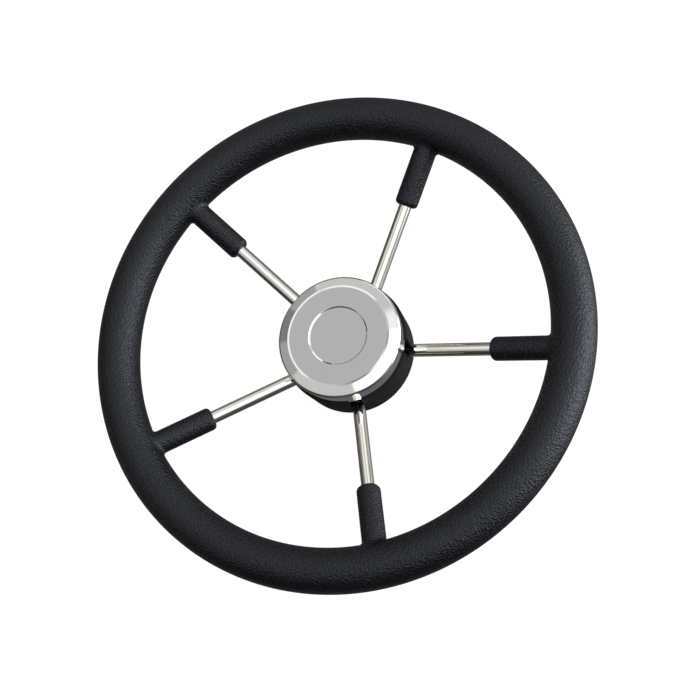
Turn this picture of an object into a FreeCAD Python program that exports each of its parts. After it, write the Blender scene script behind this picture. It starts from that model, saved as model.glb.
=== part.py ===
import FreeCAD, Part
import os
import re
import Sketcher

# A five-spoke boat steering wheel with a moulded grip, a hub cup and a pull-off centre cap.
# It lies on its back: the shaft axis is Z, the hub's back face is at Z = 0 and the cap faces up.
# The first spoke points along +Y. Every value is in millimetres or degrees.

SIZES = {
    # Rim
    "wheel_diameter": 350.0,  # over the grip
    "grip_thickness": 30.0,  # diameter of the grip's round section
    "core_diameter": 10.0,  # steel ring inside the grip
    "rim_height": 51.6,  # centre of the rim above the hub's back face
    # Spokes and the sleeves moulded over their outer ends
    "spoke_count": 5,
    "spoke_diameter": 9.0,
    "spoke_angle": 15.8,  # slope of each spoke, from the hub up to the rim
    "sleeve_diameter": 16.3,
    "sleeve_length": 56.8,  # along the spoke, from the rim's centre line
    "sleeve_end_round": 3.4,
    "sleeve_root_round": 2.5,  # where a sleeve grows out of the grip
    # Boss
    "boss_diameter": 38.0,
    "boss_height": 30.0,
    "flange_diameter": 66.0,
    "flange_thickness": 4.0,
    "socket_depth": 5.5,  # how far a spoke is let into the boss
    "socket_clearance": 0.05,
    "bore_diameter": 19.05,  # three-quarter inch at the mouth
    "bore_length": 26.0,
    "taper_length": 12.0,  # length in which the bore narrows by one unit of diameter
    "key_width": 4.76,
    "key_depth": 2.4,
    "nut_recess_diameter": 30.0,
    "boss_chamfer": 1.0,
    # Cup round the boss
    "cup_diameter": 89.8,  # at its rim
    "cup_back_diameter": 87.8,
    "cup_height": 30.3,
    "cup_wall": 3.0,
    "cup_floor": 3.2,
    "cup_back_round": 2.6,
    "cup_rim_round": 0.7,
    "boss_clearance": 0.2,
    "slot_clearance": 0.35,
    "rib_thickness": 1.8,
    "rib_height": 12.0,
    # Stepped rim of the cup, which carries the cap
    "step_height": 6.5,
    "step_wall": 4.2,
    "step_chamfer": 0.6,
    # Screws
    "screw_circle": 54.0,
    "screw_diameter": 4.0,
    "screw_head_diameter": 7.6,
    "screw_head_height": 2.2,
    "screw_sink": 0.3,  # head below the back face
    "screw_key": 2.5,  # across the flats of the hexagon socket
    "screw_clearance": 0.2,
    # Rubber ring
    "ring_thickness": 2.4,
    "ring_clearance": 0.05,
    # Cap
    "hub_height": 47.0,  # from the back face to the cap's face
    "cap_diameter": 87.0,
    "cap_wall": 1.5,
    "cap_edge_round": 2.6,
    "cap_clearance": 0.4,
    "seat_gap": 0.3,  # below the cap's lower edge
    "face_diameter": 69.4,
    "bevel_angle": 17.4,
    "recess_diameter": 42.6,
    "recess_depth": 0.8,
    "recess_slope": 1.6,  # width of the recess's sloping side
}

# Values that follow from the sizes above, each from the ones before it.
DERIVED = {
    "rim_radius": "(wheel_diameter - grip_thickness) / 2",
    "spoke_radius": "spoke_diameter / 2",
    "spoke_pitch": "360 / spoke_count",
    "spoke_slope": "tan(spoke_angle)",
    "spoke_start": "boss_diameter / 2 - socket_depth * cos(spoke_angle)",
    "sleeve_start": "rim_radius - sleeve_length * cos(spoke_angle)",
    "bore_radius": "bore_diameter / 2",
    "bore_end_radius": "bore_radius - bore_length / taper_length / 2",
    "flange_top": "cup_floor + flange_thickness",
    "cap_radius": "cap_diameter / 2",
    "cap_bottom": "cup_height + seat_gap",
    "cap_bore": "cap_radius - cap_wall",
    "cup_radius": "cup_diameter / 2",
    "cup_back_radius": "cup_back_diameter / 2",
    "cup_bore": "cup_back_radius - cup_wall",
    "cup_mouth": "cup_radius - cup_wall",
    "cup_inner_height": "cup_height - 2 * cup_wall",
    "rib_end": "cup_bore + (cup_mouth - cup_bore) * rib_height / (cup_inner_height - cup_floor)",
    "cup_hole": "boss_diameter / 2 + boss_clearance",
    "step_radius": "cap_bore - cap_clearance",
    "step_bore": "step_radius - step_wall",
    "step_top": "cup_height + step_height",
    "ring_radius": "cap_bore - ring_clearance - ring_thickness / 2",
    "ring_height": "cup_height + step_height / 2",
    "groove_radius": "ring_radius - ring_thickness / 2 - ring_clearance",
    "groove_half": "ring_thickness / 2 + ring_clearance",
    "face_radius": "face_diameter / 2",
    "corner_height": "hub_height - (cap_radius - face_radius) * tan(bevel_angle)",
    "edge_reach": "cap_edge_round * tan((90 - bevel_angle) / 2)",
    "bevel_radius": "cap_radius - edge_reach * cos(bevel_angle)",
    "bevel_height": "corner_height + edge_reach * sin(bevel_angle)",
    "wall_top": "corner_height - edge_reach",
    "recess_radius": "recess_diameter / 2",
    "recess_floor_radius": "recess_radius - recess_slope",
    "recess_shift": "cap_wall * tan(atan(recess_depth / recess_slope) / 2)",
}

doc = FreeCAD.newDocument("SteeringWheel")
sheet = doc.addObject("Spreadsheet::Sheet", "Sizes")
for row, (alias, number) in enumerate(SIZES.items(), start=1):
    sheet.set(f"A{row}", alias.replace("_", " "))
    sheet.set(f"B{row}", str(number))
    sheet.setAlias(f"B{row}", alias)
for row, (alias, formula) in enumerate(DERIVED.items(), start=len(SIZES) + 1):
    sheet.set(f"A{row}", alias.replace("_", " "))
    sheet.set(f"B{row}", "=" + formula)
    sheet.setAlias(f"B{row}", alias)
doc.recompute()


def value(words):
    """The number that a formula in the sheet's words gives."""
    result = sheet.evalExpression(words)
    return float(getattr(result, "Value", result))


def in_sheet(match):
    """A word of a formula, with the sheet's name before it where it is one of the sheet's."""
    word = match.group()
    return "Sizes." + word if word in SIZES or word in DERIVED else word


def bind(thing, **properties):
    """Bind each property to a formula in the sheet's words; a double underscore stands for a dot."""
    for name, words in properties.items():
        thing.setExpression(name.replace("__", "."), re.sub(r"[a-z_]+", in_sheet, words))


def new(kind, name, **properties):
    """A new object of the document with its properties bound to the sheet."""
    thing = doc.addObject(kind, name)
    bind(thing, **properties)
    return thing


def ring_of(name, radius, thickness, height, label=None):
    """A torus round the shaft axis: thickness is the radius of its section."""
    torus = new("Part::Torus", name, Radius1=radius, Radius2=thickness, Placement__Base__z=height)
    torus.Label = label or name
    return torus


def origin_part(body, role):
    return next(part for part in body.Origin.OriginFeatures if part.Role == role)


def arc_between(start, end, radius, turn):
    """The shorter arc from start to end, turning left or right on the way."""
    chord = end - start
    offset = (radius**2 - (chord.Length / 2) ** 2) ** 0.5
    left = FreeCAD.Vector(-chord.y, chord.x, 0).normalize()
    side = 1 if turn == "left" else -1
    centre = (start + end) / 2 + left * (side * offset)
    spread = [point - centre for point in ((start, end) if side > 0 else (end, start))]
    angles = [FreeCAD.Vector(1, 0, 0).getAngle(arm) * (1 if arm.y >= 0 else -1) for arm in spread]
    return Part.ArcOfCircle(Part.Circle(centre, FreeCAD.Vector(0, 0, 1), radius), *angles)


def outline(body, name, plane, corners):
    """A closed outline. A corner is (x, y), or (x, y, turn, radius) where an arc leads on from it."""
    sketch = body.newObject("Sketcher::SketchObject", name)
    sketch.AttachmentSupport = [(origin_part(body, plane), "")]
    sketch.MapMode = "FlatFace"
    points = [FreeCAD.Vector(value(corner[0]), value(corner[1]), 0) for corner in corners]
    ends = []
    for number, corner in enumerate(corners):
        start, end = points[number], points[(number + 1) % len(points)]
        if len(corner) == 2:
            sketch.addGeometry(Part.LineSegment(start, end))
            ends.append((1, 2))
        else:
            sketch.addGeometry(arc_between(start, end, value(corner[3]), corner[2]))
            ends.append((1, 2) if corner[2] == "left" else (2, 1))
    for number, corner in enumerate(corners):
        following = (number + 1) % len(corners)
        sketch.addConstraint(
            Sketcher.Constraint("Coincident", number, ends[number][1], following, ends[following][0])
        )
        fixed = [("DistanceX", corner[0], points[number].x), ("DistanceY", corner[1], points[number].y)]
        for kind, words, size in fixed:
            index = sketch.addConstraint(
                Sketcher.Constraint(kind, -1, 1, number, ends[number][0], size)
            )
            bind(sketch, **{f"Constraints[{index}]": words})
        if len(corner) == 4:
            index = sketch.addConstraint(Sketcher.Constraint("Radius", number, value(corner[3])))
            bind(sketch, **{f"Constraints[{index}]": corner[3]})
    return sketch


def revolved(body, kind, name, sketch, axis="V_Axis"):
    feature = body.newObject(f"PartDesign::{kind}", name)
    feature.Profile = sketch
    feature.ReferenceAxis = (sketch, [axis])
    feature.Angle = 360
    sketch.Visibility = False
    return feature


def repeated(body, name, *features):
    """Repeat features of a body round the shaft axis, once for each gap between two spokes."""
    doc.recompute()
    pattern = body.newObject("PartDesign::PolarPattern", name)
    pattern.Originals = list(features)
    pattern.Axis = (origin_part(body, "Z_Axis"), [""])
    pattern.Angle = 360
    bind(pattern, Occurrences="spoke_count")
    body.Tip = pattern
    doc.recompute()
    return pattern


def along_spoke(thing, number, start, lift="0", aside="0"):
    """Place an object on a spoke's line: its Z runs outwards along the spoke from the radius start.
    lift and aside shift it square to the spoke, upwards and to one side."""
    azimuth = f"(90 + {number} * spoke_pitch)"
    height = f"(rim_height - (rim_radius - ({start})) * spoke_slope)"
    out = f"({start}) - ({lift}) * sin(spoke_angle)"
    bind(
        thing,
        Placement=f"placement(vector(({out}) * cos{azimuth} + ({aside}) * sin{azimuth}; "
        f"({out}) * sin{azimuth} - ({aside}) * cos{azimuth}; "
        f"{height} + ({lift}) * cos(spoke_angle)); "
        f"rotation(vector(0; 0; 1); {azimuth}) * rotation(vector(0; 1; 0); 90 - spoke_angle))",
    )
    return thing


def rod(name, number, radius, start, end):
    """A round bar on a spoke's line between two radii from the shaft axis."""
    bar = new(
        "Part::Cylinder", name, Radius=radius, Height=f"(({end}) - ({start})) / cos(spoke_angle)"
    )
    return along_spoke(bar, number, start)


def joined(kind, name, shapes, label=None):
    whole = doc.addObject(kind, name)
    setattr(whole, "Links" if kind == "Part::Compound" else "Shapes", shapes)
    if label:
        whole.Label = label
    return whole


def cut(name, base, tool, label=None):
    result = doc.addObject("Part::Cut", name)
    result.Base = base
    result.Tool = tool
    if label:
        result.Label = label
    return result


SPOKES = range(int(value("spoke_count")))


# Rim core: a steel bar bent to a ring
core = ring_of("RimCore", "rim_radius", "core_diameter / 2", "rim_height", "rim_core")


# Spokes: round bars, each coped onto the ring and let into the boss
bars = [rod(f"Bar{n + 1}", n, "spoke_radius", "spoke_start", "rim_radius") for n in SPOKES]
spokes = [cut(f"Spoke{n + 1}", bars[n], core, f"spoke_{n + 1}") for n in SPOKES]


# Grip: moulded over the ring and the outer ends of the spokes, with a sleeve on each
def root_and_end_rounds(shape):
    """Fillets for the grip: where a sleeve grows out of the ring, and round its free end."""
    rounds = []
    for index, edge in enumerate(shape.Edges, start=1):
        faces = shape.ancestorsOfType(edge, Part.Face)
        kinds = {type(face.Surface).__name__ for face in faces}
        if kinds == {"Toroid", "Cylinder"}:
            size = value("sleeve_root_round")
        elif kinds == {"Plane", "Cylinder"}:
            size = min(value("sleeve_end_round"), 0.9 * value("(sleeve_diameter - spoke_diameter) / 2"))
        else:
            continue
        rounds.append((index, size, size))
    return rounds


ring = ring_of("GripRing", "rim_radius", "grip_thickness / 2", "rim_height")
sleeves = [rod(f"Sleeve{n + 1}", n, "sleeve_diameter / 2", "sleeve_start", "rim_radius") for n in SPOKES]
skin = joined("Part::MultiFuse", "GripSkin", [ring] + sleeves)
doc.recompute()
rounded = doc.addObject("Part::Fillet", "GripRounded")
rounded.Base = skin
rounded.Edges = root_and_end_rounds(skin.Shape)
armature = joined("Part::MultiFuse", "Armature", [core] + bars)
grip = cut("Grip", rounded, armature, "rim_grip")


# Boss: turned with its flange, then bored, keyed and drilled for the spokes and the screws
boss_body = doc.addObject("PartDesign::Body", "BossBody")
boss_profile = outline(
    boss_body,
    "BossProfile",
    "XZ_Plane",
    [
        ("bore_radius", "0"),
        ("boss_diameter / 2", "0"),
        ("boss_diameter / 2", "cup_floor"),
        ("flange_diameter / 2", "cup_floor"),
        ("flange_diameter / 2", "flange_top"),
        ("boss_diameter / 2", "flange_top"),
        ("boss_diameter / 2", "boss_height - boss_chamfer"),
        ("boss_diameter / 2 - boss_chamfer", "boss_height"),
        ("nut_recess_diameter / 2", "boss_height"),
        ("nut_recess_diameter / 2", "bore_length"),
        ("bore_end_radius", "bore_length"),
    ],
)
revolved(boss_body, "Revolution", "BossTurned", boss_profile)
doc.recompute()
keyway = boss_body.newObject("PartDesign::Pocket", "Keyway")
keyway.Profile = outline(
    boss_body,
    "KeywayProfile",
    "YZ_Plane",
    [
        ("-(bore_radius + key_depth)", "-1"),
        ("-(bore_radius - key_depth)", "-1"),
        ("-(bore_end_radius - key_depth)", "bore_length + 1"),
        ("-(bore_end_radius + key_depth)", "bore_length + 1"),
    ],
)
keyway.Midplane = True
bind(keyway, Length="key_width")
doc.recompute()
tapping = boss_body.newObject("Sketcher::SketchObject", "TappingProfile")
tapping.AttachmentSupport = [(origin_part(boss_body, "XY_Plane"), "")]
tapping.MapMode = "FlatFace"
tapping.addGeometry(
    Part.Circle(
        FreeCAD.Vector(0, -value("screw_circle") / 2, 0),
        FreeCAD.Vector(0, 0, 1),
        value("screw_diameter") / 2,
    )
)
tapping.addConstraint(Sketcher.Constraint("PointOnObject", 0, 3, -2))
tapping.addConstraint(Sketcher.Constraint("DistanceY", 0, 3, -1, 1, value("screw_circle") / 2))
tapping.addConstraint(Sketcher.Constraint("Radius", 0, value("screw_diameter") / 2))
bind(tapping, **{"Constraints[1]": "screw_circle / 2", "Constraints[2]": "screw_diameter / 2"})
tapped = boss_body.newObject("PartDesign::Pocket", "TappedHole")
tapped.Profile = tapping
tapped.Reversed = True
bind(tapped, Length="flange_top + 1")
repeated(boss_body, "TappedHoles", tapped)
drills = [
    rod(f"Drill{n + 1}", n, "spoke_radius + socket_clearance", "spoke_start", "flange_diameter / 2")
    for n in SPOKES
]
boss = cut("Boss", boss_body, joined("Part::MultiFuse", "Drills", drills), "hub_boss")


# Cup: moulded, with a rounded back edge, a stepped rim for the cap and a slot for each spoke
cup_body = doc.addObject("PartDesign::Body", "CupBody")
cup_profile = outline(
    cup_body,
    "CupProfile",
    "XZ_Plane",
    [
        ("cup_hole", "0"),
        ("cup_back_radius - cup_back_round", "0", "left", "cup_back_round"),
        ("cup_back_radius", "cup_back_round"),
        ("cup_radius", "cup_height - cup_rim_round", "left", "cup_rim_round"),
        ("cup_radius - cup_rim_round", "cup_height"),
        ("step_radius", "cup_height"),
        ("step_radius", "ring_height - groove_half"),
        ("groove_radius", "ring_height - groove_half"),
        ("groove_radius", "ring_height + groove_half"),
        ("step_radius", "ring_height + groove_half"),
        ("step_radius", "step_top - step_chamfer"),
        ("step_radius - step_chamfer", "step_top"),
        ("step_bore", "step_top"),
        ("step_bore", "cup_height - cup_wall"),
        ("cup_mouth", "cup_inner_height"),
        ("cup_bore", "cup_floor"),
        ("cup_hole", "cup_floor"),
    ],
)
revolved(cup_body, "Revolution", "CupMoulded", cup_profile)
doc.recompute()
rib = cup_body.newObject("PartDesign::Pad", "Rib")
rib.Profile = outline(
    cup_body,
    "RibProfile",
    "YZ_Plane",
    [
        ("-(cup_bore + cup_wall / 2)", "cup_floor / 2"),
        ("-(flange_diameter / 2 + boss_clearance)", "cup_floor / 2"),
        ("-(flange_diameter / 2 + boss_clearance)", "flange_top"),
        ("-(rib_end + cup_wall / 2)", "cup_floor + rib_height"),
    ],
)
rib.Midplane = True
bind(rib, Length="rib_thickness")
doc.recompute()
sunk_profile = outline(
    cup_body,
    "CountersinkProfile",
    "YZ_Plane",
    [
        ("-screw_circle / 2", "-1"),
        ("-(screw_circle + screw_head_diameter) / 2 - screw_clearance", "-1"),
        ("-(screw_circle + screw_head_diameter) / 2 - screw_clearance", "screw_sink"),
        ("-(screw_circle + screw_diameter) / 2 - screw_clearance", "screw_sink + screw_head_height"),
        ("-(screw_circle + screw_diameter) / 2 - screw_clearance", "cup_floor + 1"),
        ("-screw_circle / 2", "cup_floor + 1"),
    ],
)
screw_line = sunk_profile.addGeometry(
    Part.LineSegment(
        FreeCAD.Vector(-value("screw_circle") / 2, -1, 0), FreeCAD.Vector(-value("screw_circle") / 2, 1, 0)
    ),
    True,
)
sunk_profile.addConstraint(Sketcher.Constraint("Coincident", screw_line, 1, 0, 1))
sunk_profile.addConstraint(Sketcher.Constraint("Vertical", screw_line))
sunk_profile.addConstraint(Sketcher.Constraint("DistanceY", screw_line, 1, screw_line, 2, 2))
sunk = revolved(cup_body, "Groove", "Countersink", sunk_profile, "Axis0")
repeated(cup_body, "RibsAndCountersinks", rib, sunk)

slots = []
for n in SPOKES:
    passage = rod(
        f"Passage{n + 1}",
        n,
        "spoke_radius + slot_clearance",
        "boss_diameter / 2",
        "cup_radius + cup_wall",
    )
    opening = new(
        "Part::Box",
        f"Opening{n + 1}",
        Length="hub_height",
        Width="2 * (spoke_radius + slot_clearance)",
        Height="(cup_radius + cup_wall - step_bore + cup_wall) / cos(spoke_angle)",
    )
    along_spoke(opening, n, "step_bore - cup_wall", "hub_height", "spoke_radius + slot_clearance")
    slots += [passage, opening]
cup = cut("Cup", cup_body, joined("Part::MultiFuse", "Slots", slots), "hub_cup")


# Screws: countersunk, with a hexagon socket, driven from behind through the cup into the flange
screws = []
for n in SPOKES:
    azimuth = f"(270 + {n} * spoke_pitch)"
    stand = {
        "Placement__Base__x": f"screw_circle / 2 * cos{azimuth}",
        "Placement__Base__y": f"screw_circle / 2 * sin{azimuth}",
    }
    head = new(
        "Part::Cone",
        f"ScrewHead{n + 1}",
        Radius1="screw_head_diameter / 2",
        Radius2="screw_diameter / 2",
        Height="screw_head_height",
        Placement__Base__z="screw_sink",
        **stand,
    )
    shank = new(
        "Part::Cylinder",
        f"ScrewShank{n + 1}",
        Radius="screw_diameter / 2",
        Height="flange_top - screw_sink - screw_head_height",
        Placement__Base__z="screw_sink + screw_head_height",
        **stand,
    )
    socket = new(
        "Part::Prism",
        f"ScrewSocket{n + 1}",
        Circumradius="screw_key / sqrt(3)",
        Height="screw_head_height",
        Placement__Base__z="screw_sink - screw_head_height / 2",
        **stand,
    )
    blank = joined("Part::MultiFuse", f"ScrewBlank{n + 1}", [head, shank])
    screws.append(cut(f"Screw{n + 1}", blank, socket))
screw_group = joined("Part::Compound", "Screws", screws, "cup_screws")


# Rubber ring in the groove of the stepped rim
rubber = ring_of("CapRing", "ring_radius", "ring_thickness / 2", "ring_height", "cap_ring")


# Cap: pressed from sheet, with a bevelled edge and a shallow round recess in its face
cap = doc.addObject("PartDesign::Body", "CapBody")
cap.Label = "centre_cap"
cap_profile = outline(
    cap,
    "CapProfile",
    "XZ_Plane",
    [
        ("0", "hub_height - recess_depth - cap_wall"),
        ("recess_floor_radius + recess_shift", "hub_height - recess_depth - cap_wall"),
        ("recess_radius + recess_shift", "hub_height - cap_wall"),
        ("face_radius - cap_wall * tan(bevel_angle / 2)", "hub_height - cap_wall"),
        (
            "bevel_radius - cap_wall * sin(bevel_angle)",
            "bevel_height - cap_wall * cos(bevel_angle)",
            "right",
            "cap_edge_round - cap_wall",
        ),
        ("cap_bore", "wall_top"),
        ("cap_bore", "cap_bottom"),
        ("cap_radius", "cap_bottom"),
        ("cap_radius", "wall_top", "left", "cap_edge_round"),
        ("bevel_radius", "bevel_height"),
        ("face_radius", "hub_height"),
        ("recess_radius", "hub_height"),
        ("recess_floor_radius", "hub_height - recess_depth"),
        ("0", "hub_height - recess_depth"),
    ],
)
revolved(cap, "Revolution", "CapPressed", cap_profile)

doc.recompute()

parts = [core] + spokes + [grip, boss, cup, screw_group, rubber, cap]
for thing in doc.Objects:
    if {"Invalid", "Error"} & set(thing.State):
        raise RuntimeError(f"{thing.Label} could not be built: {thing.State}")
for thing in parts:
    if thing.Shape.isNull() or not thing.Shape.isValid():
        raise RuntimeError(f"{thing.Label} has no valid shape")
    print(f"{thing.Label}: {len(thing.Shape.Solids)} solid(s), {thing.Shape.Volume / 1000:.2f} cm3")

os.makedirs("parts", exist_ok=True)
for thing in parts:
    thing.Shape.exportStep(f"parts/{thing.Label}.step")
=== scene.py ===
import bmesh
import bpy
import math
import numpy as np
from mathutils import Euler, Matrix, Vector


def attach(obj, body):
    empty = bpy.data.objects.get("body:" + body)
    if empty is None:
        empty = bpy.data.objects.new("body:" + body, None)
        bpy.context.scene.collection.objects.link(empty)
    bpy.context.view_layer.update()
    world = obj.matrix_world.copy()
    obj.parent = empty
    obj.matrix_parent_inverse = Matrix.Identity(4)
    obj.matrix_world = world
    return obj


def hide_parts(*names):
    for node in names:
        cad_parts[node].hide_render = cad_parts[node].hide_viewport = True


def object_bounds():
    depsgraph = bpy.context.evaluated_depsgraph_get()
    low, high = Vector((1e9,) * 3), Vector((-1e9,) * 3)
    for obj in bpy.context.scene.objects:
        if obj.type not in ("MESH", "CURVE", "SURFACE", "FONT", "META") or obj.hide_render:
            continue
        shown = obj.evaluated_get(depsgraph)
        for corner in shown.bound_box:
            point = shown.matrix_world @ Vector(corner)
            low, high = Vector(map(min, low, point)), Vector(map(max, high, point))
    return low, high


# A five-spoke boat steering wheel lying on its back, cap upwards, as the CAD model has it.
# Sizes are in millimetres; meshes are made in millimetres and scaled once.

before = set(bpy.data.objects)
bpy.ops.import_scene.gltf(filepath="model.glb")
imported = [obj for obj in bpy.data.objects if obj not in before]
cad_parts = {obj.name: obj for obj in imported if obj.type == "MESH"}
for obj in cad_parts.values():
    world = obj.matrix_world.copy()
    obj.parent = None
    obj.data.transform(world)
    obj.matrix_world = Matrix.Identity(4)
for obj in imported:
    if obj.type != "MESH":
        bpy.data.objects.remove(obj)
cad_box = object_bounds()

MM = 0.001

# Rim and grip
RIM_RADIUS = 160.0  # to the middle of the grip's section
RIM_HEIGHT = 51.6
GRIP_RADIUS = 15.0
CORE_RADIUS = 5.0  # the steel ring in the grip
# Spokes and their sleeves
SPOKES = 5
FIRST_SPOKE = 90  # azimuth of spoke_1 in degrees
PITCH = 360 / SPOKES
SPOKE_RADIUS = 4.5
SPOKE_LENGTH = 152.04  # from the rim's centre line into the boss
SPOKE_ANGLE = math.radians(15.8)  # down from the rim's plane towards the hub
SLEEVE_RADIUS = 8.15
SLEEVE_LENGTH = 56.8
SLEEVE_END_ROUND = 3.4
SLEEVE_ROOT_ROUND = 2.5
MOUTH_DEPTH = 1.5  # how far a sleeve's skin is led in along its spoke
# Cap
HUB_HEIGHT = 47.0
CAP_RADIUS = 43.5
CAP_WALL = 1.5
CAP_BOTTOM = 30.6
CORNER_HEIGHT = 44.46  # where the bevel would meet the side
FACE_RADIUS = 34.7
EDGE_WIDTH = 1.4  # the polished line round the face, which leans outwards a little
EDGE_DROP = 0.22
RECESS_RADIUS = 21.3
RECESS_DEPTH = 0.8
RECESS_SLOPE = 1.6
RECESS_ROUND = 0.3
RECESS_LEAD = 0.29  # the metal bends in this far inside the slope, so its wall is steeper


# ---- Materials ----


def colour(code):
    """An sRGB hex colour as linear red, green and blue."""
    parts = [int(code[i : i + 2], 16) / 255 for i in (1, 3, 5)]
    return tuple(c / 12.92 if c <= 0.04045 else ((c + 0.055) / 1.055) ** 2.4 for c in parts)


def per_mm(width):
    """Texture scale that repeats once in a width in millimetres."""
    return 1 / (width * MM)


def add(tree, kind, inputs=None, **settings):
    """A new node with its own settings; each input is linked to a socket or set to a value."""
    made = tree.nodes.new(kind)
    for name, setting in settings.items():
        setattr(made, name, setting)
    for name, given in (inputs or {}).items():
        if isinstance(given, bpy.types.NodeSocket):
            tree.links.new(given, made.inputs[name])
        else:
            made.inputs[name].default_value = given
    return made


def material(name, **shader):
    """A new material with one Principled shader: itself, its tree, that shader, the coordinates."""
    made = bpy.data.materials.new(name)
    made.use_nodes = True
    tree = made.node_tree
    tree.nodes.clear()
    surface = add(tree, "ShaderNodeBsdfPrincipled", shader)
    add(tree, "ShaderNodeOutputMaterial", {"Surface": surface.outputs[0]})
    place = add(tree, "ShaderNodeTexCoord").outputs["Object"]
    return made, tree, surface, place


def finish(surface, shades, shading, roughness, rubbing, relief=None, depth=0.0, strength=1.0):
    """Patterns on a surface: shading mixes its two shades, rubbing spreads its roughness between
    two values, and relief dents it to a depth in millimetres."""
    tree = surface.id_data
    low, high = ((*colour(code), 1) for code in shades)
    tint = add(
        tree, "ShaderNodeMix", {"Factor": shading, "A": low, "B": high}, data_type="RGBA"
    )
    tree.links.new(tint.outputs["Result"], surface.inputs["Base Color"])
    rough = add(
        tree,
        "ShaderNodeMapRange",
        {"Value": rubbing, "To Min": roughness[0], "To Max": roughness[1]},
    )
    tree.links.new(rough.outputs["Result"], surface.inputs["Roughness"])
    if relief is not None:
        dent = add(
            tree,
            "ShaderNodeBump",
            {"Height": relief, "Strength": strength, "Distance": depth * MM},
        )
        tree.links.new(dent.outputs["Normal"], surface.inputs["Normal"])


def foam_skin():
    """Integral-skin polyurethane foam, moulded against a grained tool: a soft near-black skin
    with a low, slightly cool sheen, broken up by fine leather creases."""
    made, tree, surface, place = material(
        "moulded_foam_skin", IOR=1.48, **{"Specular Tint": (*colour("#f0f5ff"), 1)}
    )
    tone = add(tree, "ShaderNodeTexNoise", {"Vector": place, "Scale": per_mm(30), "Detail": 3.0})
    # leather cells 1.25 mm across, coarser than the real 0.8 mm so that they show
    cells = add(
        tree,
        "ShaderNodeTexVoronoi",
        {"Vector": place, "Scale": per_mm(1.25)},
        feature="SMOOTH_F1",
    )
    pores = add(tree, "ShaderNodeTexNoise", {"Vector": place, "Scale": per_mm(0.9), "Detail": 2.0})
    grain = add(
        tree,
        "ShaderNodeMath",
        {0: cells.outputs["Distance"], 1: pores.outputs["Fac"]},
        operation="ADD",
    )
    finish(
        surface,
        shades=("#020203", "#06070a"),
        shading=tone.outputs["Fac"],
        roughness=(0.20, 0.34),
        rubbing=pores.outputs["Fac"],
        relief=grain.outputs[0],
        depth=0.5,
    )
    return made


def polished_stainless():
    """Polished stainless bar: a near mirror, slightly warm, with faint draw lines along it."""
    made, tree, surface, place = material("polished_stainless_bar", Metallic=1.0)
    # draw lines 0.5 mm apart and 40 mm long, coarser than the real 0.1 mm so that they show
    stretched = add(
        tree,
        "ShaderNodeMapping",
        {"Vector": place, "Scale": (per_mm(0.5), per_mm(0.5), per_mm(40))},
    )
    lines = add(
        tree, "ShaderNodeTexNoise", {"Vector": stretched.outputs[0], "Scale": 1.0, "Detail": 2.0}
    )
    finish(
        surface,
        shades=("#eeebe1", "#f6f4ea"),
        shading=lines.outputs["Fac"],
        roughness=(0.05, 0.10),
        rubbing=lines.outputs["Fac"],
        relief=lines.outputs["Fac"],
        depth=0.01,
        strength=0.04,
    )
    return made


def cap_metal(name, shades, roughness):
    """Stamped stainless cap. The bevel, edges and side are polished to a mirror; the flat face is
    left satin, so it shows one even grey."""
    made, tree, surface, place = material(name, Metallic=1.0)
    haze = add(tree, "ShaderNodeTexNoise", {"Vector": place, "Scale": per_mm(6), "Detail": 4.0})
    # polishing grit 0.6 mm apart, coarser than the real 0.1 mm so that it shows
    grit = add(tree, "ShaderNodeTexNoise", {"Vector": place, "Scale": per_mm(0.6), "Detail": 2.0})
    finish(
        surface,
        shades=shades,
        shading=haze.outputs["Fac"],
        roughness=roughness,
        rubbing=haze.outputs["Fac"],
        relief=grit.outputs["Fac"],
        depth=0.01,
        strength=0.03,
    )
    return made


def moulded_nylon():
    """Glass-filled nylon, moulded in a spark-eroded tool: matt black with a fine even grain."""
    made, tree, surface, place = material("moulded_nylon", IOR=1.4)
    # grain 1.1 mm across, coarser than the real 0.3 mm so that it shows
    grain = add(tree, "ShaderNodeTexNoise", {"Vector": place, "Scale": per_mm(1.1), "Detail": 3.0})
    tone = add(tree, "ShaderNodeTexNoise", {"Vector": place, "Scale": per_mm(25), "Detail": 2.0})
    finish(
        surface,
        shades=("#020202", "#050506"),
        shading=tone.outputs["Fac"],
        roughness=(0.6, 0.75),
        rubbing=grain.outputs["Fac"],
        relief=grain.outputs["Fac"],
        depth=0.6,
    )
    return made


def turned_steel(name, shades, feed):
    """Turned steel: grey metal with the fine rings that a lathe tool leaves round the shaft axis,
    one for each feed in millimetres."""
    made, tree, surface, place = material(name, Metallic=1.0)
    # the wave turns by 20 radians in its unit, so the rings are drawn 2 pi feeds apart, to show
    rings = add(
        tree,
        "ShaderNodeTexWave",
        {"Vector": place, "Scale": per_mm(feed) / 20, "Distortion": 0.4, "Detail": 1.0},
        wave_type="RINGS",
        rings_direction="Z",
    )
    haze = add(tree, "ShaderNodeTexNoise", {"Vector": place, "Scale": per_mm(9), "Detail": 4.0})
    finish(
        surface,
        shades=shades,
        shading=haze.outputs["Fac"],
        roughness=(0.26, 0.40),
        rubbing=haze.outputs["Fac"],
        relief=rings.outputs["Fac"],
        depth=0.02,
        strength=0.15,
    )
    return made


def ring_rubber():
    """Moulded nitrile rubber: smooth, soft black with a low, uneven sheen."""
    made, tree, surface, place = material("nitrile_rubber", IOR=1.52)
    haze = add(tree, "ShaderNodeTexNoise", {"Vector": place, "Scale": per_mm(3), "Detail": 3.0})
    finish(
        surface,
        shades=("#0b0b0b", "#131313"),
        shading=haze.outputs["Fac"],
        roughness=(0.45, 0.6),
        rubbing=haze.outputs["Fac"],
    )
    return made


# ---- Meshes ----


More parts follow.
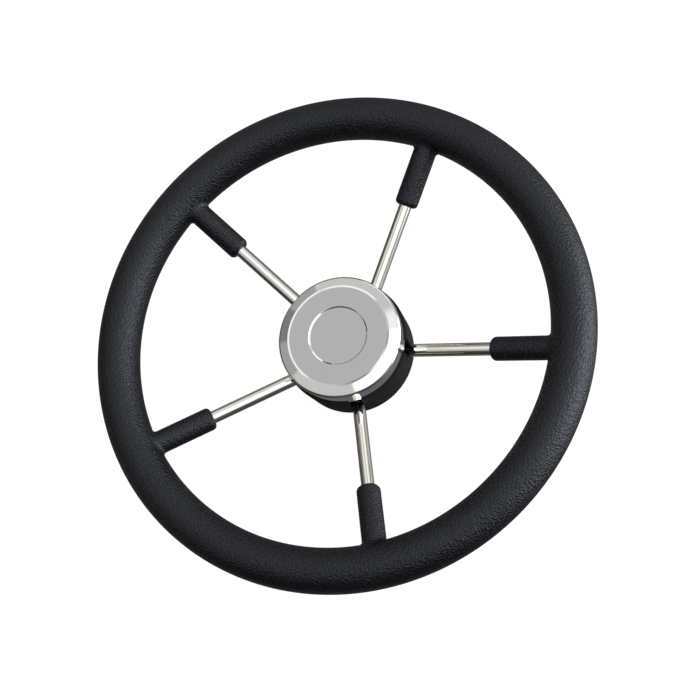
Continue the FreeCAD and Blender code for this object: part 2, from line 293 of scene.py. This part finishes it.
def shell(name, points, normals, faces, materials):
    """A mesh from points in mm, a normal for each, and faces as (corners, material number)."""
    mesh = bpy.data.meshes.new(name)
    mesh.from_pydata((np.asarray(points) * MM).tolist(), [], [corners for corners, _ in faces])
    for each in materials:
        mesh.materials.append(each)
    mesh.polygons.foreach_set("material_index", [number for _, number in faces])
    mesh.shade_smooth()
    mesh.normals_split_custom_set_from_vertices(np.asarray(normals).tolist())
    return mesh


def put(name, data):
    """An object in the scene, from its mesh or camera."""
    made = bpy.data.objects.new(name, data)
    bpy.context.scene.collection.objects.link(made)
    return made


def left_of(way):
    """A direction in the plane, turned left by a right angle."""
    return np.array([-way[1], way[0]])


STEPS = 8  # of a round in a right angle


def rounded(corners):
    """Points along an outline in the radius and height plane, with their outward normals.
    A corner is (radius, height, round, material number of the line that leads on)."""
    line = [np.array(corner[:2], float) for corner in corners]
    ways = [(b - a) / np.linalg.norm(b - a) for a, b in zip(line, line[1:])]
    made = [(line[0], left_of(ways[0]), corners[0][3])]
    for last, corner, point, before, after in zip(corners, corners[1:], line[1:], ways, ways[1:]):
        turn = math.atan2(left_of(before) @ after, before @ after)
        arm = math.copysign(corner[2], turn)
        start = point - before * corner[2] * math.tan(abs(turn) / 2)
        centre = start + arm * left_of(before)
        steps = max(3, round(STEPS * abs(turn) / (math.pi / 2)))
        for step in range(steps + 1):
            angle = turn * step / steps
            way = before * math.cos(angle) + left_of(before) * math.sin(angle)
            number = corner[3] if step >= steps / 2 else last[3]
            made.append((centre - arm * left_of(way), left_of(way), number))
    made.append((line[-1], left_of(ways[-1]), 0))
    return made


def revolve(name, corners, materials, segments):
    """A body turned round its Z axis, from an outline's corners; it begins and ends on the axis."""
    outline = rounded(corners)
    turns = [2 * math.pi * n / segments for n in range(segments)]
    points, normals, rings = [], [], []
    for (radius, height), (out, up), _ in outline:
        start = len(points)
        if radius == 0:
            points.append((0, 0, height))
            normals.append((0, 0, math.copysign(1, up)))
            rings.append([start] * segments)
        else:
            points += [(radius * math.cos(turn), radius * math.sin(turn), height) for turn in turns]
            normals += [(out * math.cos(turn), out * math.sin(turn), up) for turn in turns]
            rings.append(range(start, start + segments))
    faces = []
    for (_, _, number), upper, lower in zip(outline, rings, rings[1:]):
        for n in range(segments):
            after = (n + 1) % segments
            around = [upper[n], lower[n], lower[after], upper[after]]
            # a ring on the axis is one point, and its faces are triangles
            faces.append((list(dict.fromkeys(around)), number))
    return shell(name, points, normals, faces, materials)


def spoke_azimuth(number):
    """Where a spoke points, in radians; numbers count from 0, counterclockwise."""
    return math.radians(FIRST_SPOKE + PITCH * number)


def spoke_axes(number):
    """A spoke's own place and directions: its root on the rim's centre line, sideways, inwards
    along its axis, and over it."""
    azimuth = spoke_azimuth(number)
    out = Vector((math.cos(azimuth), math.sin(azimuth), 0))
    up = Vector((0, 0, 1))
    root = out * RIM_RADIUS + up * RIM_HEIGHT
    aside = Vector((-math.sin(azimuth), math.cos(azimuth), 0))
    inwards = -out * math.cos(SPOKE_ANGLE) - up * math.sin(SPOKE_ANGLE)
    over = -out * math.sin(SPOKE_ANGLE) + up * math.cos(SPOKE_ANGLE)
    return root, aside, inwards, over


def nearest_spoke(points):
    """The number of the spoke that each point is nearest to."""
    azimuth = np.degrees(np.arctan2(points[:, 1], points[:, 0]))
    return np.round((azimuth - FIRST_SPOKE) / PITCH)


def grip_depth(points):
    """How far points stand outside the grip's skin: a ring and a rounded sleeve on each spoke,
    run together with a round at the root."""
    spoke = np.radians(FIRST_SPOKE + PITCH * nearest_spoke(points))
    out = points[:, 0] * np.cos(spoke) + points[:, 1] * np.sin(spoke)
    aside = points[:, 1] * np.cos(spoke) - points[:, 0] * np.sin(spoke)
    up = points[:, 2] - RIM_HEIGHT
    ring = np.hypot(np.hypot(out, aside) - RIM_RADIUS, up) - GRIP_RADIUS
    inwards = RIM_RADIUS - out
    along = inwards * math.cos(SPOKE_ANGLE) - up * math.sin(SPOKE_ANGLE)
    over = inwards * math.sin(SPOKE_ANGLE) + up * math.cos(SPOKE_ANGLE)
    off = np.sqrt(aside**2 + over**2 + np.minimum(along, 0) ** 2)
    side = off - (SLEEVE_RADIUS - SLEEVE_END_ROUND)
    end = along - (SLEEVE_LENGTH - SLEEVE_END_ROUND)
    sleeve = np.hypot(np.maximum(side, 0), np.maximum(end, 0))
    sleeve += np.minimum(np.maximum(side, end), 0) - SLEEVE_END_ROUND
    root = SLEEVE_ROOT_ROUND
    nearer = np.maximum(root, np.minimum(ring, sleeve))
    return nearer - np.hypot(np.maximum(root - ring, 0), np.maximum(root - sleeve, 0))


def grip_slope(points):
    """The direction in which the depth grows fastest, times how fast it grows."""
    step = 0.002
    rise = [grip_depth(points + way) - grip_depth(points - way) for way in step * np.eye(3)]
    return np.stack(rise, 1) / (2 * step)


def onto_skin(points):
    """Points moved along the slope until they lie on the grip's skin, which takes 12 rounds."""
    for _ in range(12):
        slope = grip_slope(points)
        steepness = np.maximum((slope**2).sum(1), 1e-6)  # never nothing, to divide by it
        points = points - slope * (grip_depth(points) / steepness)[:, None]
    return points


# The grip's cells: round its section, along the rim from one spoke to the next, and how many of
# them a sleeve's root takes up to each side of its axis.
SECTION_CELLS, SECTOR_CELLS = 24, 28
ROOT_ROUND, ROOT_ALONG = 3, 2
# A sleeve's rings of points from its root to its mouth: distance from its axis, and along it.
SLEEVE_RINGS = [
    (SLEEVE_RADIUS + 2.7, 14.9),
    (SLEEVE_RADIUS + 0.8, 15.8),
    (SLEEVE_RADIUS, 17.7),
    (SLEEVE_RADIUS, 26.5),
    (SLEEVE_RADIUS, 35.5),
    (SLEEVE_RADIUS, 44.5),
    (SLEEVE_RADIUS, SLEEVE_LENGTH - SLEEVE_END_ROUND),
    (SLEEVE_RADIUS - 1.0, SLEEVE_LENGTH - 1.0),
    (SPOKE_RADIUS, SLEEVE_LENGTH),
]


def grip_cage():
    """A coarse cage of the grip: a ring of cells with a patch left out at each sleeve, joined to
    the sleeve's own rings of points."""
    cage = bmesh.new()
    cells = SPOKES * SECTOR_CELLS
    grid = {}

    def from_sleeve(i, j):
        """Cells to the nearest sleeve's axis, along the rim and round the section."""
        along = (i + ROOT_ALONG) % SECTOR_CELLS - ROOT_ALONG
        return along, (j + ROOT_ROUND) % SECTION_CELLS - ROOT_ROUND

    def at(i, j):
        return grid[i % cells, j % SECTION_CELLS]

    for i in range(cells):
        for j in range(SECTION_CELLS):
            along, across = from_sleeve(i, j)
            if abs(along) < ROOT_ALONG and abs(across) < ROOT_ROUND:
                continue
            turn = math.radians(FIRST_SPOKE) + 2 * math.pi * i / cells
            section = math.pi + SPOKE_ANGLE + 2 * math.pi * j / SECTION_CELLS
            radius = RIM_RADIUS + GRIP_RADIUS * math.cos(section)
            height = RIM_HEIGHT + GRIP_RADIUS * math.sin(section)
            grid[i, j] = cage.verts.new((radius * math.cos(turn), radius * math.sin(turn), height))
    for i in range(cells):
        for j in range(SECTION_CELLS):
            along, across = from_sleeve(i, j)
            if along >= ROOT_ALONG or across >= ROOT_ROUND:
                cage.faces.new([at(i, j), at(i + 1, j), at(i + 1, j + 1), at(i, j + 1)])
    for number in range(SPOKES):
        root, aside, inwards, over = spoke_axes(number)
        edge = []
        for i in range(-ROOT_ALONG, ROOT_ALONG + 1):
            for j in range(-ROOT_ROUND, ROOT_ROUND + 1):
                if abs(i) == ROOT_ALONG or abs(j) == ROOT_ROUND:
                    vertex = at(number * SECTOR_CELLS + i, j)
                    arm = vertex.co - root
                    edge.append((math.atan2(arm.dot(over), arm.dot(aside)), vertex))
        edge.sort(key=lambda pair: pair[0])
        ring = [vertex for _, vertex in edge]
        arms = [aside * math.cos(angle) + over * math.sin(angle) for angle, _ in edge]
        for distance, along in SLEEVE_RINGS:
            middle = root + inwards * along
            following = [cage.verts.new(middle + arm * distance) for arm in arms]
            for n in range(len(ring)):
                after = (n + 1) % len(ring)
                cage.faces.new([ring[n], ring[after], following[after], following[n]])
            ring = following
    bmesh.ops.recalc_face_normals(cage, faces=cage.faces)
    return cage


def grip(skin):
    """The moulded grip: its cage divided finely and laid onto the skin, with each sleeve's mouth
    closed onto its spoke."""
    fine = grip_cage()
    bmesh.ops.subdivide_edges(fine, edges=fine.edges, cuts=3, use_grid_fill=True)
    fine.verts.index_update()
    points = onto_skin(np.array([vertex.co for vertex in fine.verts]))
    normals = grip_slope(points)
    faces = [([vertex.index for vertex in face.verts], 0) for face in fine.faces]
    # the open edges are the mouths: they are set onto their spoke and led in along it
    mouths = [edge.link_loops[0] for edge in fine.edges if edge.is_boundary]
    ends = [(loop.link_loop_next.vert.index, loop.vert.index) for loop in mouths]
    fine.free()
    spoke_of = nearest_spoke(points)
    inner, led, led_normals = {}, [], []
    for index in sorted({index for pair in ends for index in pair}):
        root, _, inwards, _ = (np.array(each) for each in spoke_axes(spoke_of[index]))
        middle = root + inwards * SLEEVE_LENGTH
        arm = points[index] - middle
        arm -= inwards * (arm @ inwards)
        arm /= np.linalg.norm(arm)
        points[index] = middle + arm * SPOKE_RADIUS
        normals[index] = inwards
        inner[index] = len(points) + len(led)
        led.append(points[index] - inwards * MOUTH_DEPTH)
        led_normals.append(-arm)
    for first, second in ends:
        faces.append(([first, second, inner[second], inner[first]], 0))
    points = np.concatenate([points, led])
    normals = np.concatenate([normals, led_normals])
    normals /= np.linalg.norm(normals, axis=1)[:, None]
    return shell("rim_grip_moulded", points, normals, faces, [skin])


def spoke_bar(metal):
    """A spoke down its own Z axis: a round bar from the steel ring, which it is coped onto, to
    its socket in the boss."""
    corners = [
        (0, 0, 0, 0),
        (SPOKE_RADIUS, 0, 0.1, 0),
        (SPOKE_RADIUS, -SPOKE_LENGTH, 0.4, 0),
        (0, -SPOKE_LENGTH, 0, 0),
    ]
    mesh = revolve("spoke_bar_1", corners, [metal], segments=96)
    for vertex in mesh.vertices:
        x, y, z = vertex.co / MM
        if z > -1:  # the end at the ring, hollowed to its round and its bend
            cope = math.sqrt(max(CORE_RADIUS**2 - x**2, 0)) + y**2 / (2 * RIM_RADIUS)
            vertex.co.z -= cope * MM
    return mesh


POLISHED, SATIN = 0, 1


def stamped_cap(mirror, satin):
    """The cap: a pressed shell with a bevel, a polished line round its face and a shallow recess.
    Its outline runs from the middle of the recess over the outside and back along the inside."""
    floor_height = HUB_HEIGHT - RECESS_DEPTH
    under = HUB_HEIGHT - CAP_WALL
    # how far out the slope's corners move on the inside, to keep the wall's thickness
    shift = CAP_WALL * math.tan(math.atan(RECESS_DEPTH / RECESS_SLOPE) / 2)
    corners = [
        (0, floor_height, 0, SATIN),
        (RECESS_RADIUS - RECESS_SLOPE + RECESS_LEAD, floor_height, RECESS_ROUND, POLISHED),
        (RECESS_RADIUS - RECESS_LEAD, HUB_HEIGHT, RECESS_ROUND, SATIN),
        (FACE_RADIUS, HUB_HEIGHT, 0.2, POLISHED),
        (FACE_RADIUS + EDGE_WIDTH, HUB_HEIGHT - EDGE_DROP, 0.3, POLISHED),
        (CAP_RADIUS, CORNER_HEIGHT, 2.6, POLISHED),
        (CAP_RADIUS, CAP_BOTTOM, 0.3, POLISHED),
        (CAP_RADIUS - CAP_WALL, CAP_BOTTOM, 0.3, SATIN),
        (CAP_RADIUS - CAP_WALL, CORNER_HEIGHT - CAP_WALL, 1.2, SATIN),
        (FACE_RADIUS - 0.3, under, 1.2, SATIN),
        (RECESS_RADIUS + shift, under, 0.3, SATIN),
        (RECESS_RADIUS - RECESS_SLOPE + shift, floor_height - CAP_WALL, 0.3, SATIN),
        (0, floor_height - CAP_WALL, 0, SATIN),
    ]
    return revolve("centre_cap_stamped", corners, [mirror, satin], segments=256)


# ---- The wheel ----

moulded_grip = put("rim_grip_moulded", grip(foam_skin()))
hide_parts("rim_grip")
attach(moulded_grip, "wheel")

bar = spoke_bar(polished_stainless())
for number in range(SPOKES):
    spoke = put(f"spoke_bar_{number + 1}", bar)
    root = spoke_axes(number)[0] * MM
    turned = Matrix.Rotation(spoke_azimuth(number), 4, "Z")
    leant = Matrix.Rotation(math.pi / 2 - SPOKE_ANGLE, 4, "Y")
    spoke.matrix_world = Matrix.Translation(root) @ turned @ leant
    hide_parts(f"spoke_{number + 1}")
    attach(spoke, "wheel")

mirror = cap_metal("polished_cap_steel", ("#f0f0ef", "#f6f6f5"), (0.045, 0.055))
satin = cap_metal("satin_cap_steel", ("#c1c0c0", "#c7c6c6"), (0.378, 0.462))
cap = put("centre_cap_stamped", stamped_cap(mirror, satin))
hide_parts("centre_cap")
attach(cap, "cap")

# the CAD model's own ring, boss, screws, cup and O-ring keep their shapes and get their finishes
for node, made_of in (
    ("rim_core", turned_steel("drawn_ring_steel", ("#9c9c9a", "#aeaeab"), 0.8)),
    ("hub_boss", turned_steel("turned_boss_steel", ("#b4b3b0", "#c6c5c2"), 0.5)),
    ("cup_screws", turned_steel("screw_stainless", ("#b9b8b4", "#cbcac6"), 0.3)),
    ("hub_cup", moulded_nylon()),
    ("cap_ring", ring_rubber()),
):
    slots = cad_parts[node].data.materials
    slots.clear()
    slots.append(made_of)


# ---- Studio ----

# White paper that shines by itself and throws no light or shade on the wheel. From below it is
# clear, so that the wheel's back can be seen.
paper = bpy.data.materials.new("white_paper")
paper.use_nodes = True
tree = paper.node_tree
tree.nodes.clear()
sheet = add(
    tree,
    "ShaderNodeBsdfPrincipled",
    {
        "Base Color": (0.25, 0.25, 0.25, 1),
        "Roughness": 1.0,
        "Emission Color": (1, 1, 1, 1),
        "Emission Strength": 0.9,
    },
)
clear = add(tree, "ShaderNodeBsdfTransparent")
below = add(tree, "ShaderNodeNewGeometry").outputs["Backfacing"]
seen = add(tree, "ShaderNodeMixShader", {0: below, 1: sheet.outputs[0], 2: clear.outputs[0]})
add(tree, "ShaderNodeOutputMaterial", {"Surface": seen.outputs[0]})

REACH = 3.0  # metres to each side
floor_mesh = bpy.data.meshes.new("studio_floor")
floor_corners = [(-REACH, -REACH, 0), (REACH, -REACH, 0), (REACH, REACH, 0), (-REACH, REACH, 0)]
floor_mesh.from_pydata(floor_corners, [], [(0, 1, 2, 3)])
floor_mesh.materials.append(paper)
floor = put("studio_floor", floor_mesh)
floor.location.z = cad_box[0].z - 0.2 * MM
floor.visible_glossy = False
floor.visible_diffuse = False
floor.visible_shadow = False

# The room is a light wall with soft panels on it. A panel is the azimuth and elevation of its
# middle, its radius and its soft edge, all in degrees, and its brightness. Each one covers those
# before it.
WALL = (0.73, 0.73, 0.72)
PANELS = [
    # the white half of the room, in the spokes' lower sides
    (215, -22, 77, 5, (0.97, 0.96, 0.94)),
    # a grey screen behind spoke_1, the flat grey on its upper side
    (113, 4, 35, 3, (0.31, 0.31, 0.35)),
    # the dark half of the room, in the bars' dark bands and the grip's near side
    (282, -20, 70, 19, (0.09, 0.09, 0.085)),
    # a bluish window, the sheen of the grip's right half
    (36, 14, 27, 2, (2.0, 2.15, 2.4)),
    # the shade under the wheel
    (158, -65, 57, 54, (0.13, 0.13, 0.13)),
    # a faint shade overhead, the grip's top on the left
    (174, 73, 12, 24, (0.26, 0.29, 0.3)),
    # light grey cards, the bevel's two light facets
    (120, 47, 26, 1, (0.6, 0.6, 0.59)),
    (233, 57, 21, 4, (0.6, 0.6, 0.59)),
    # a mid grey card, the bevel's facets on the upper left
    (187, 8, 43, 1, (0.38, 0.37, 0.37)),
    # a dark card low on the left, the grip's dark side
    (190, -7, 27, 12, (0.085, 0.08, 0.07)),
    # a small dark card, the bevel's darkest facet
    (178, 27, 11, 1, (0.21, 0.21, 0.205)),
    # a warm grey card, spoke_2's far side
    (151, 0, 18, 10, (0.27, 0.24, 0.19)),
    # two black cards, the darkest lines along spoke_3 and spoke_5
    (254, -12, 22, 9, (0.035, 0.035, 0.03)),
    (320, -30, 12, 8, (0.04, 0.04, 0.035)),
    # a pale card on the right, the cap's side
    (357, 8, 17, 4, (0.74, 0.74, 0.73)),
    # a bright lamp at wheel height, the shine along the grip's right
    (32, 2, 30, 3, (4.0, 4.15, 4.4)),
    # lamps overhead, the bevel's white crescent and the cores of the spokes
    (83, 60, 6, 4, (1.0, 1.0, 1.0)),
    (2, 62, 30, 2, (1.5, 1.5, 1.55)),
    (97, 22, 17, 1, (1.1, 1.1, 1.1)),
    # narrow lamps, the bright line round the cap's face and spoke_5's core
    (131, 52, 10.5, 1, (1.0, 0.99, 0.98)),
    (168, 58.5, 16.5, 1.5, (1.0, 0.99, 0.98)),
    (198, 52, 8, 0.5, (0.95, 0.94, 0.93)),
]
world = bpy.data.worlds.new("studio")
bpy.context.scene.world = world
world.use_nodes = True
tree = world.node_tree
tree.nodes.clear()
direction = add(tree, "ShaderNodeTexCoord").outputs["Generated"]
light = (*WALL, 1)
for azimuth, elevation, radius, soft, tone in PANELS:
    a, e = math.radians(azimuth), math.radians(elevation)
    middle = (math.cos(a) * math.cos(e), math.sin(a) * math.cos(e), math.sin(e))
    facing = add(
        tree, "ShaderNodeVectorMath", {0: direction, 1: middle}, operation="DOT_PRODUCT"
    ).outputs["Value"]
    inside = add(
        tree,
        "ShaderNodeMapRange",
        {
            "Value": facing,
            "From Min": math.cos(math.radians(radius + soft)),
            "From Max": math.cos(math.radians(max(radius - soft, 0))),
        },
        interpolation_type="SMOOTHSTEP",
    ).outputs["Result"]
    light = add(
        tree, "ShaderNodeMix", {"Factor": inside, "A": light, "B": (*tone, 1)}, data_type="RGBA"
    ).outputs["Result"]
shine = add(tree, "ShaderNodeBackground", {"Color": light, "Strength": 1.0})
# the room beyond the floor is seen as plain white, and only lights the wheel with its panels
plain = add(tree, "ShaderNodeBackground", {"Color": (1, 1, 1, 1), "Strength": 1.0})
straight = add(tree, "ShaderNodeLightPath").outputs["Is Camera Ray"]
room = add(tree, "ShaderNodeMixShader", {0: straight, 1: shine.outputs[0], 2: plain.outputs[0]})
add(tree, "ShaderNodeOutputWorld", {"Surface": room.outputs[0]})

# The photograph's viewpoint, found from the outlines of the rim, the spokes and the cap.
camera_data = bpy.data.cameras.new("camera")
camera_data.lens = 62.871
camera_data.sensor_width = 36
camera = put("camera", camera_data)
camera.location = (0.30023, -0.12905, 0.81335)
camera.rotation_euler = Euler([math.radians(a) for a in (16.857, 14.986, 26.020)], "XYZ")
bpy.context.scene.camera = camera
bpy.context.scene.view_settings.view_transform = "Standard"
bpy.context.scene.view_settings.look = "None"
